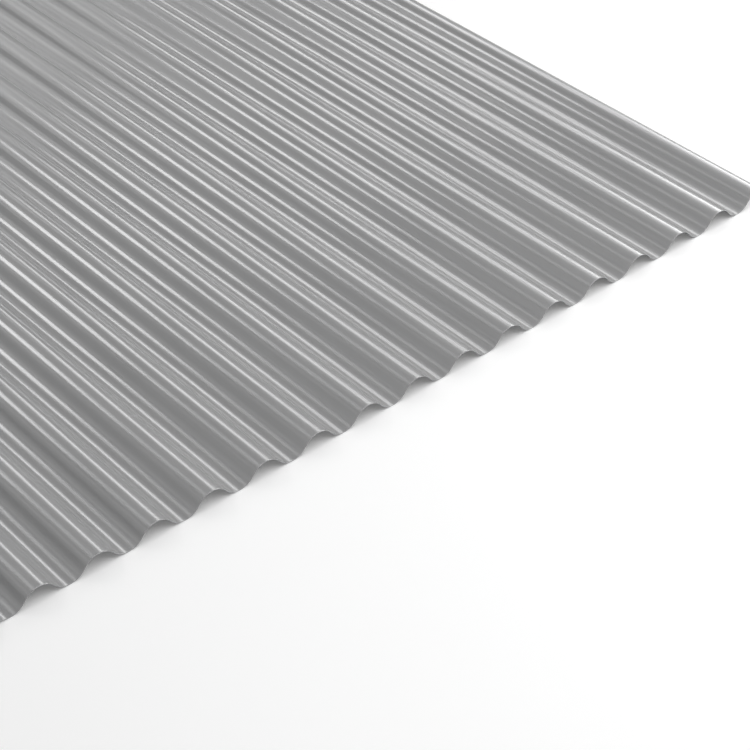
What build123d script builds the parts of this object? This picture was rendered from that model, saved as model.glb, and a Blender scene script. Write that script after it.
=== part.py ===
from build123d import *
import os
from math import atan2, degrees

# A roll-formed corrugated sheet for roofs, walls and fences: one piece of thin coated steel. The
# ridges run along Y and the waves follow each other along X. It lies flat, with the undersides of
# its troughs on the floor at Z = 0 and the origin below the middle of the sheet.

# Driving sizes, in millimetres
sheet_length = 2000.0      # along the ridges, from one cut end to the other
wave_pitch = 63.5          # from one crest to the next
wave_depth = 17.5          # from a trough up to a crest, on the same face of the metal
wave_count = 16            # whole waves between the two outer crests
flank_width = 5.0          # straight metal between the bend of a crest and that of a trough
lip_width = 7.5            # metal past an outer crest, measured along its curve
metal_thickness = 0.5      # steel with its zinc and paint

# Every crest and trough is one round bend of the same radius, to the middle of the metal. A wave
# of this pitch, depth and flank leaves room for one radius only, and for one slope of the flanks.
half_pitch = wave_pitch / 2
bend_radius = (half_pitch**2 + wave_depth**2 - flank_width**2) / (4 * wave_depth)
flank_angle = degrees(
    atan2(bend_radius, flank_width / 2) - atan2(bend_radius - wave_depth / 2, half_pitch / 2)
)
lip_angle = degrees(lip_width / bend_radius)

# On the underside a crest bends tighter than the middle of the metal, and a trough wider.
crest_radius = bend_radius - metal_thickness / 2
trough_radius = bend_radius + metal_thickness / 2
trough_centre_height = trough_radius
crest_centre_height = trough_radius + wave_depth - 2 * bend_radius

# The bends follow each other at half the pitch, from one outer crest to the other.
bend_count = 2 * wave_count + 1
outer_crest = wave_count * half_pitch

with BuildPart() as corrugated_sheet:
    with BuildSketch(Plane.XZ):
        with BuildLine():
            flank_start = None
            for bend in range(bend_count):
                bend_x = bend * half_pitch - outer_crest
                if bend % 2 == 0:
                    # A crest, over the top from left to right. An outer one ends in its lip.
                    turn_before = lip_angle if bend == 0 else flank_angle
                    turn_after = lip_angle if bend == bend_count - 1 else flank_angle
                    arc = CenterArc(
                        (bend_x, crest_centre_height),
                        crest_radius,
                        90 + turn_before,
                        -turn_before - turn_after,
                    )
                else:
                    # A trough, through the bottom from left to right.
                    arc = CenterArc(
                        (bend_x, trough_centre_height),
                        trough_radius,
                        270 - flank_angle,
                        2 * flank_angle,
                    )
                if flank_start is not None:
                    Line(flank_start, arc @ 0)
                flank_start = arc @ 1
            # The top face lies one thickness of metal above the underside, with square edges.
            offset(amount=metal_thickness, side=Side.LEFT)
        make_face()
    extrude(amount=sheet_length / 2, both=True)

corrugated_sheet.part.label = "corrugated_sheet"

os.makedirs("parts", exist_ok=True)
export_step(corrugated_sheet.part, "parts/corrugated_sheet.step")
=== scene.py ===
from math import asin, atan2, cos, exp, pi, radians, sin

import bpy
from mathutils import Matrix, Vector, noise


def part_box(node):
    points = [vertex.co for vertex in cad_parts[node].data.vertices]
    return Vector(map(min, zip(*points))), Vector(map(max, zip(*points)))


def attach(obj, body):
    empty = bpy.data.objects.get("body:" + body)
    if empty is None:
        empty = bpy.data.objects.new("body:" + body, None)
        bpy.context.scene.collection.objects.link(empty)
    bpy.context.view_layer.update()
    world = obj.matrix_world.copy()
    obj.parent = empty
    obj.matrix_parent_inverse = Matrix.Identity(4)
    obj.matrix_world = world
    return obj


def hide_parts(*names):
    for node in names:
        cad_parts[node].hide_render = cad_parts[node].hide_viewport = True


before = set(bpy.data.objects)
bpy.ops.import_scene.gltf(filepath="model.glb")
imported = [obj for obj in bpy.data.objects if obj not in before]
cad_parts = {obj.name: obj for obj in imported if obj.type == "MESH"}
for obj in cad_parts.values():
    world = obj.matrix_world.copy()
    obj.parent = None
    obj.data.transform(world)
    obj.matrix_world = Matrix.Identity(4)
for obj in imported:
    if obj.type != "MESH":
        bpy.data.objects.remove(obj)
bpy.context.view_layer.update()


# The sheet: one piece of thin steel coil, coated with zinc and a satin grey paint. A roll former
# bends the waves along its whole length, one pass after another, and a shear cuts both ends
# square. Nothing is fixed to it, and it lies loose on the floor.
wave_pitch = 0.0635
wave_count = 16
flank_width = 0.005
metal_thickness = 0.0005
sheet_low, sheet_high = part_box("corrugated_sheet")
wave_depth = sheet_high.z - metal_thickness
half_pitch = wave_pitch / 2
outer_crest = wave_count * half_pitch
bend_count = 2 * wave_count + 1

# The flanks run into the bends with no corner, which settles the bends' radius and the slope.
# The lip past each outer crest runs on round its bend to the full width of the sheet.
bend_radius = (half_pitch**2 + wave_depth**2 - flank_width**2) / (4 * wave_depth)
flank_angle = atan2(bend_radius, flank_width / 2) - atan2(
    bend_radius - wave_depth / 2, half_pitch / 2
)
lip_angle = asin((sheet_high.x - outer_crest) / (bend_radius + metal_thickness / 2))


def wave_stations(bend_steps, flank_steps, edge_share):
    """The middle of the metal from left to right: each place, and its tilt towards +X."""
    stations = []
    for bend in range(bend_count):
        is_crest = bend % 2 == 0
        upward = 1 if is_crest else -1
        centre_x = bend * half_pitch - outer_crest
        centre_z = metal_thickness / 2 + (wave_depth - bend_radius if is_crest else bend_radius)
        first_tilt = -upward * flank_angle
        last_tilt = upward * flank_angle
        if bend == 0:
            first_tilt = -lip_angle
        if bend == bend_count - 1:
            last_tilt = lip_angle
        for step in range(bend_steps + 1):
            tilt = first_tilt + (last_tilt - first_tilt) * step / bend_steps
            place = Vector((centre_x, 0, centre_z))
            place += upward * bend_radius * Vector((sin(tilt), 0, cos(tilt)))
            if step == 0 and stations:
                start = stations[-1][0]
                for flank_step in range(1, flank_steps):
                    stations.append((start.lerp(place, flank_step / flank_steps), tilt))
            stations.append((place, tilt))
    # One more station lies close to the left side edge, and one a step in from the right one.
    for edge, inner in ((0, 1), (-2, -3)):
        place = stations[edge][0].lerp(stations[inner][0], edge_share)
        tilt = stations[edge][1] * (1 - edge_share) + stations[inner][1] * edge_share
        stations.insert(max(edge, inner), (place, tilt))
    return stations


# Small dents from handling: where each lies, how deep it is, and its half width and length. One
# pushed up from below has its depth under zero. A dent dies out three half widths away.
dents = (
    (0.3800, -0.6620, 0.00035, 0.006, 0.030),
    (0.3590, -0.7400, -0.00020, 0.005, 0.040),
    (-0.2850, -0.9110, -0.00025, 0.006, 0.022),
    (0.4390, -0.9790, -0.00006, 0.0015, 0.012),
    (-0.1200, 0.2600, 0.00030, 0.008, 0.050),
    (0.2100, 0.6900, 0.00030, 0.007, 0.040),
)
dent_reach = 3


def unevenness(run, y, height, across, along, layer):
    """One layer of smooth noise: its height, and its swells per metre across and along."""
    return height * noise.noise(Vector((run * across, y * along, layer)))


def relief(x, run, y):
    """How far the metal stands off its true wave, along its own normal."""
    roll_lines = unevenness(run, y, height=0.000012, across=150, along=0, layer=3)
    passes = unevenness(run, y, height=0.00004, across=45, along=0.3, layer=17)
    buckles = unevenness(run, y, height=0.00006, across=12, along=3, layer=31)
    height = roll_lines + passes + buckles
    for dent_x, dent_y, depth, half_width, half_length in dents:
        away = ((x - dent_x) / half_width) ** 2 + ((y - dent_y) / half_length) ** 2
        if away < dent_reach**2:
            height -= depth * exp(-away)
    return height


stations = wave_stations(bend_steps=14, flank_steps=2, edge_share=0.15)
runs = [0.0]
for (before, _), (place, _) in zip(stations, stations[1:]):
    runs.append(runs[-1] + (place - before).length)

# Rows lie close together at the cut ends, where the shear drew the top edge down a little.
cut_rows = (0, 0.0002, 0.0004, 0.0007, 0.0012)
cut_drops = (0.00012, 0.00004, 0.00001, 0, 0)
near_rows = [sheet_low.y + step for step in cut_rows]
far_rows = [sheet_high.y - step for step in reversed(cut_rows)]
inner_count = 84
gap = (far_rows[0] - near_rows[-1]) / (inner_count + 1)
inner_rows = [near_rows[-1] + gap * (row + 1) for row in range(inner_count)]
rows = near_rows + inner_rows + far_rows
drops = cut_drops + (0,) * inner_count + tuple(reversed(cut_drops))

# The waves are held a hair short of full size, which leaves the relief room in the sheet's box.
width_share = 0.9999
height_share = 0.988
middle_height = sheet_high.z / 2
vertices = []
for y, drop in zip(rows, drops):
    heights = [relief(place.x, run, y) for (place, _), run in zip(stations, runs)]
    for face in (0.5, -0.5):
        for (place, tilt), height in zip(stations, heights):
            out = metal_thickness * face + height - (drop if face > 0 else 0)
            x = (place.x + sin(tilt) * out) * width_share
            z = middle_height + (place.z + cos(tilt) * out - middle_height) * height_share
            vertices.append((x, y, z))

# Four edges of metal close the two coated faces: one along each side, and one at each cut end.
top_coat, back_coat, cut_edge = 0, 1, 2
across = len(stations)
faces = []
finishes = []
for row in range(len(rows) - 1):
    for side in (top_coat, back_coat):
        for station in range(across - 1):
            a = (2 * row + side) * across + station
            b = a + 2 * across
            corners = (a, a + 1, b + 1, b)
            faces.append(corners if side == top_coat else corners[::-1])
            finishes.append(side)
    for station, order in ((0, 1), (across - 1, -1)):
        a = 2 * row * across + station
        corners = (a, a + 2 * across, a + 3 * across, a + across)
        faces.append(corners[::order])
        finishes.append(cut_edge)
for row, order in ((0, 1), (len(rows) - 1, -1)):
    for station in range(across - 1):
        a = 2 * row * across + station
        corners = (a, a + across, a + across + 1, a + 1)
        faces.append(corners[::order])
        finishes.append(cut_edge)

sheet_mesh = bpy.data.meshes.new("rolled_sheet")
sheet_mesh.from_pydata(vertices, [], faces)
for polygon, finish in zip(sheet_mesh.polygons, finishes):
    polygon.material_index = finish
    polygon.use_smooth = finish != cut_edge
rolled_sheet = bpy.data.objects.new("rolled_sheet", sheet_mesh)
bpy.context.scene.collection.objects.link(rolled_sheet)


class Signal:
    """One output of a material's nodes. Arithmetic on it adds Math nodes."""

    def __init__(self, socket):
        self.socket = socket

    def node(self, kind, settings, inputs, output=0):
        """Adds a node. A ramp's stops are given as pairs of a position and a grey level."""
        made = self.socket.id_data.nodes.new("ShaderNode" + kind)
        for name, setting in settings.items():
            if name == "stops":
                for stop, (position, level) in zip(made.color_ramp.elements, setting):
                    stop.position = position
                    stop.color = (level, level, level, 1)
            else:
                setattr(made, name, setting)
        for name, value in inputs.items():
            if isinstance(value, Signal):
                value.into(made, name)
            else:
                made.inputs[name].default_value = value
        return Signal(made.outputs[output])

    def into(self, node, name):
        self.socket.id_data.links.new(self.socket, node.inputs[name])

    def maths(self, operation, first, second):
        return self.node("Math", {"operation": operation}, {0: first, 1: second})

    def __add__(self, other):
        return self.maths("ADD", self, other)

    def __sub__(self, other):
        return self.maths("SUBTRACT", self, other)

    def __rsub__(self, other):
        return self.maths("SUBTRACT", other, self)

    def __mul__(self, other):
        return self.maths("MULTIPLY", self, other)

    __radd__ = __add__
    __rmul__ = __mul__


def new_finish(name):
    """A new material on the sheet: its shader, and the place on the metal in metres."""
    finish = bpy.data.materials.new(name)
    finish.use_nodes = True
    sheet_mesh.materials.append(finish)
    shader = finish.node_tree.nodes["Principled BSDF"]
    place = Signal(shader.outputs["BSDF"]).node("TexCoord", {}, {}, "Object")
    return shader, place


def drawn_noise(place, across, along, detail):
    """Noise in marks per metre across and along the ridges, from 0 to 1."""
    stretched = place.node(
        "VectorMath", {"operation": "MULTIPLY"}, {0: place, 1: (across, along, across)}
    )
    return place.node(
        "TexNoise", {}, {"Vector": stretched, "Scale": 1, "Detail": detail, "Roughness": 0.55}
    )


def mixed(factor, first, second):
    """One colour passing into another."""
    return factor.node(
        "Mix",
        {"data_type": "RGBA"},
        {"Factor": factor, "A": first, "B": second},
        output="Result",
    )


def bumped(height):
    """The normal of a surface with a relief of this height in metres."""
    return height.node("Bump", {}, {"Height": height, "Strength": 1, "Distance": 1})


# The top coat: grey paint with fine metal flake under a clear varnish. The rolls draw it into
# faint streaks along the ridges, and it is a little duller on them.
shader, place = new_finish("satin_grey_coat")
streaks = drawn_noise(place, across=200, along=0.8, detail=2)
clouds = drawn_noise(place, across=14, along=6, detail=2)
roll_marks = drawn_noise(place, across=300, along=0.3, detail=1)
flake = drawn_noise(place, across=1500, along=1300, detail=1)
roll_mark_height = 0.000004
flake_height = 0.0000008
darker_grey = (0.378, 0.379, 0.382, 1)
paler_grey = (0.422, 0.423, 0.425, 1)
tone = streaks * 0.6 + clouds * 0.4
clearer_tone = tone.node("ValToRGB", {"stops": ((0.3, 0), (0.7, 1))}, {"Fac": tone})
mixed(clearer_tone, darker_grey, paler_grey).into(shader, "Base Color")
shader.inputs["Metallic"].default_value = 0.3
(0.25 + clouds * 0.04 + streaks * 0.03).into(shader, "Roughness")
shader.inputs["Coat Weight"].default_value = 1
shader.inputs["Coat IOR"].default_value = 1.6
shader.inputs["Coat Roughness"].default_value = 0.08
bumped(roll_marks * roll_mark_height + flake * flake_height).into(shader, "Normal")

# The back coat: a thin dull grey wash baked on the underside, with faint rubs from handling.
shader, place = new_finish("dull_back_coat")
rubs = drawn_noise(place, across=180, along=6, detail=3)
clouds = drawn_noise(place, across=18, along=12, detail=2)
rub_height = 0.00001
wash_grey = (0.26, 0.262, 0.265, 1)
rubbed_grey = (0.36, 0.36, 0.362, 1)
mixed(rubs * 0.6 + clouds * 0.4, wash_grey, rubbed_grey).into(shader, "Base Color")
shader.inputs["Metallic"].default_value = 0.3
(0.38 + rubs * 0.14).into(shader, "Roughness")
bumped(rubs * rub_height).into(shader, "Normal")

# The cut edges: bare steel with a smear of zinc, drawn into fine lines by the shear.
shader, place = new_finish("bare_cut_edge")
drag = drawn_noise(place, across=900, along=60, detail=3)
drag_height = 0.000008
steel_grey = (0.32, 0.325, 0.33, 1)
zinc_grey = (0.48, 0.48, 0.48, 1)
mixed(drag, steel_grey, zinc_grey).into(shader, "Base Color")
shader.inputs["Metallic"].default_value = 1
(0.3 + drag * 0.2).into(shader, "Roughness")
bumped(drag * drag_height).into(shader, "Normal")

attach(rolled_sheet, "root")
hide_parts("corrugated_sheet")


# The floor: plain and pale, matt, and wide enough to fill the view from any side. Looked at
# straight or in a reflection, it glows a little near the sheet, where it is almost white and
# keeps the shadow. It glows more far away, where no lamp hangs over it.
floor_reach = 60
corner_sides = ((-1, -1), (1, -1), (1, 1), (-1, 1))
floor_corners = [(x * floor_reach, y * floor_reach, 0) for x, y in corner_sides]
floor_mesh = bpy.data.meshes.new("floor")
floor_mesh.from_pydata(floor_corners, [], [(0, 1, 2, 3)])
floor = bpy.data.objects.new("floor", floor_mesh)
bpy.context.scene.collection.objects.link(floor)
floor_paint = bpy.data.materials.new("floor_paint")
floor_paint.use_nodes = True
floor_mesh.materials.append(floor_paint)
floor_nodes = floor_paint.node_tree.nodes
floor_shader = floor_nodes["Principled BSDF"]
floor_shader.inputs["Base Color"].default_value = (0.9, 0.9, 0.9, 1)
floor_shader.inputs["Roughness"].default_value = 0.8
matt_paint = Signal(floor_shader.outputs["BSDF"])


def with_glow(strength):
    """The matt paint, with a plain white glow added."""
    glow = matt_paint.node("Emission", {}, {"Color": (1, 1, 1, 1), "Strength": strength})
    return matt_paint.node("AddShader", {}, {0: matt_paint, 1: glow})


# The glow starts to grow 2.5 m from the middle of the sheet and is full before 6 m.
near_glow = 0.12
far_glow = 0.75
growth_start = 2.5
growth_per_metre = 0.3
floor_place = matt_paint.node("TexCoord", {}, {}, "Object")
distance = floor_place.node("VectorMath", {"operation": "LENGTH"}, {0: floor_place}, "Value")
far_away = (distance - growth_start) * growth_per_metre
near_and_far = far_away.node(
    "MixShader", {}, {0: far_away, 1: with_glow(near_glow), 2: with_glow(far_glow)}
)
straight_ray = matt_paint.node("LightPath", {}, {}, "Is Camera Ray")
mirrored_ray = matt_paint.node("LightPath", {}, {}, "Is Glossy Ray")
passing_ray = matt_paint.node("LightPath", {}, {}, "Is Transmission Ray")
seen = straight_ray + mirrored_ray + passing_ray
seen.node("MixShader", {}, {0: seen, 1: matt_paint, 2: near_and_far}).into(
    floor_nodes["Material Output"], "Surface"
)


# The light: soft boxes hung level over the sheet, each a little above the last, and one tall one
# that stands at the left. The metal mirrors them as long lines on its bends, so their places
# set where the lines fall.
hang_height = 1.6
hang_step = 0.003


def soft_box(name, place, size, turn, radiance, shape="RECTANGLE", height=hang_height, lean=0):
    """A lamp of even radiance over a place on the floor, turned and leant in degrees."""
    lamp = bpy.data.lights.new(name, "AREA")
    lamp.shape = shape
    lamp.size, lamp.size_y = size
    area = size[0] * size[1] * (pi / 4 if shape == "ELLIPSE" else 1)
    lamp.energy = radiance * pi * area
    box = bpy.data.objects.new(name, lamp)
    box.location = (*place, height + hang_step * len(bpy.data.lights))
    box.rotation_euler = (radians(lean), 0, radians(turn))
    box.visible_camera = False
    bpy.context.scene.collection.objects.link(box)


# By the far end and its left corner: the bright lines on the left of each wave.
soft_box("left_box", (-0.70, 1.15), (0.65, 0.85), 10, 2.0)
soft_box("left_core", (-0.70, 1.20), (0.40, 0.50), 15, 1.1)
soft_box("left_glow", (-0.80, 1.10), (0.80, 1.00), 10, 0.7, "ELLIPSE")
soft_box("left_long_box", (-0.75, 0.85), (0.45, 2.80), 20, 0.5, "ELLIPSE")
soft_box("inner_box", (-0.20, 1.80), (0.80, 0.80), 0, 0.5)
# Beyond the right side: the crests and the right of each wave.
soft_box("middle_box", (1.70, 1.15), (1.00, 1.60), -45, 1.4, "ELLIPSE")
soft_box("low_box", (1.60, 0.40), (0.80, 0.60), 0, 0.6, "ELLIPSE")
soft_box("long_band", (2.20, 2.00), (0.40, 2.60), -30, 1.15)
soft_box("far_band", (2.60, 2.60), (0.60, 2.10), -50, 1.1)
soft_box("right_box", (2.90, 0.60), (1.50, 1.80), -30, 2.0)
soft_box("right_strip", (3.40, 0.80), (0.80, 1.60), -30, 1.25)
soft_box("outer_box", (4.10, 0.20), (2.00, 3.50), -30, 2.0)
soft_box("outer_core", (4.40, 1.00), (1.60, 1.60), -30, 1.5)
# In front and behind: broad, even light on the sheet, its near cut end and the floor.
soft_box("front_box", (1.60, -1.80), (4.00, 2.40), 0, 1.75)
soft_box("front_left_box", (-1.20, -1.60), (2.40, 2.00), 0, 0.45)
soft_box("back_box", (-0.40, 3.00), (3.80, 2.40), -15, 0.6)
soft_box("back_right_box", (1.20, 3.00), (1.60, 1.60), 0, 0.35)
# Far out at the left: the steep left flanks.
soft_box("left_wash", (-2.05, 1.65), (0.80, 2.80), 0, 0.35)
soft_box("side_strip", (-1.55, 1.70), (0.12, 0.85), -10, 1.6)
soft_box("left_wall", (-2.60, 1.50), (5.40, 0.80), -90, 0.25, height=1.2, lean=90)

room_grey = (0.17, 0.17, 0.17, 1)
world = bpy.data.worlds.new("studio")
world.use_nodes = True
world.node_tree.nodes["Background"].inputs["Color"].default_value = room_grey
bpy.context.scene.world = world
bpy.context.scene.view_settings.view_transform = "Standard"


# The camera: it stands a metre and a quarter up, to the left of the near end, and looks down
# across the waves. Its long lens frames the near part of the sheet.
camera_place = Vector((-1.0348, -2.1575, 1.2667))
camera_yaw = radians(40.245)
camera_pitch = radians(38.724)
camera_roll = radians(-0.53)
camera = bpy.data.cameras.new("camera")
camera.sensor_width = 36
camera.lens = 96.63
camera_object = bpy.data.objects.new("camera", camera)
forward = Vector(
    (
        sin(camera_yaw) * cos(camera_pitch),
        cos(camera_yaw) * cos(camera_pitch),
        -sin(camera_pitch),
    )
)
level_right = Vector((cos(camera_yaw), -sin(camera_yaw), 0))
level_up = level_right.cross(forward)
right = cos(camera_roll) * level_right + sin(camera_roll) * level_up
up = cos(camera_roll) * level_up - sin(camera_roll) * level_right
camera_turn = Matrix((right, up, -forward)).transposed()
camera_object.matrix_world = Matrix.Translation(camera_place) @ camera_turn.to_4x4()
bpy.context.scene.collection.objects.link(camera_object)
bpy.context.scene.camera = camera_object
